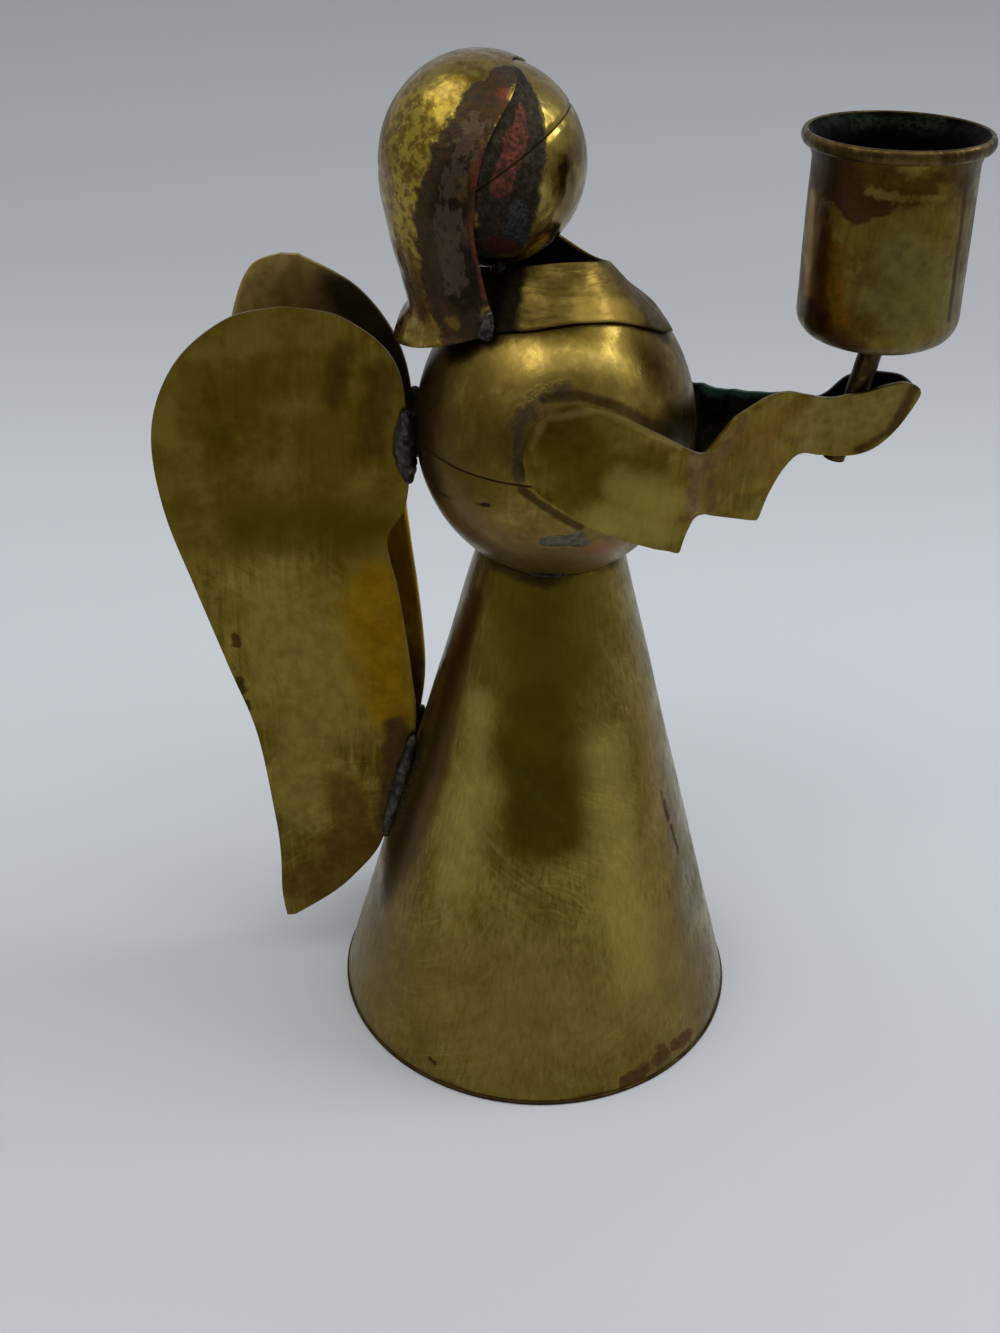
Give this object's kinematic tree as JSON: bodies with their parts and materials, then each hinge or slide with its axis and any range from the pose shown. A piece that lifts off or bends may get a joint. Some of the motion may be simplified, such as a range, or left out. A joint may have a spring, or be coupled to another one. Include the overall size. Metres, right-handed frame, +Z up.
{
  "type": "figural candle holder",
  "caption": "Standing winged figure of soldered sheet brass with a cone skirt, ball torso and head, hooded hair, and both hands holding a round candle cup on a short rod.",
  "frame": {"origin": "centre of the flat underside, on the surface it stands on", "axes": "+Z up, -Y the way the angel faces, X across the shoulders with the angel's right side at -X"},
  "size_m": [0.074, 0.1266, 0.1754],
  "materials": {
    "plain_brass": "aged, half polished",
    "wing_brass": "brushed, aged",
    "heated_brass": "polished with heat scale",
    "dark_brass": "brown patina",
    "solder": "dull grey solder"
  },
  "bodies": {
    "root": {"base_plate": "plain_brass", "skirt": "plain_brass", "torso_lower_half": "plain_brass", "torso_upper_half": "plain_brass", "collar": "plain_brass", "head_lower_half": "plain_brass", "head_upper_half": "plain_brass", "hair_shell": "heated_brass", "arm_right": "plain_brass", "arm_left": "plain_brass", "wing_right": "wing_brass", "wing_left": "wing_brass", "candle_cup": "dark_brass", "cup_stem": "dark_brass", "wing_right_torso_solder": "solder", "wing_left_torso_solder": "solder", "wing_right_skirt_solder": "solder", "wing_left_skirt_solder": "solder", "arm_right_torso_solder": "solder", "arm_left_torso_solder": "solder", "hair_right_torso_solder": "solder", "hair_left_torso_solder": "solder", "collar_right_head_solder": "solder", "collar_left_head_solder": "solder", "torso_skirt_solder": "solder", "cup_stem_solder": "solder", "hand_stem_solder": "solder"}
  },
  "joints": []
}
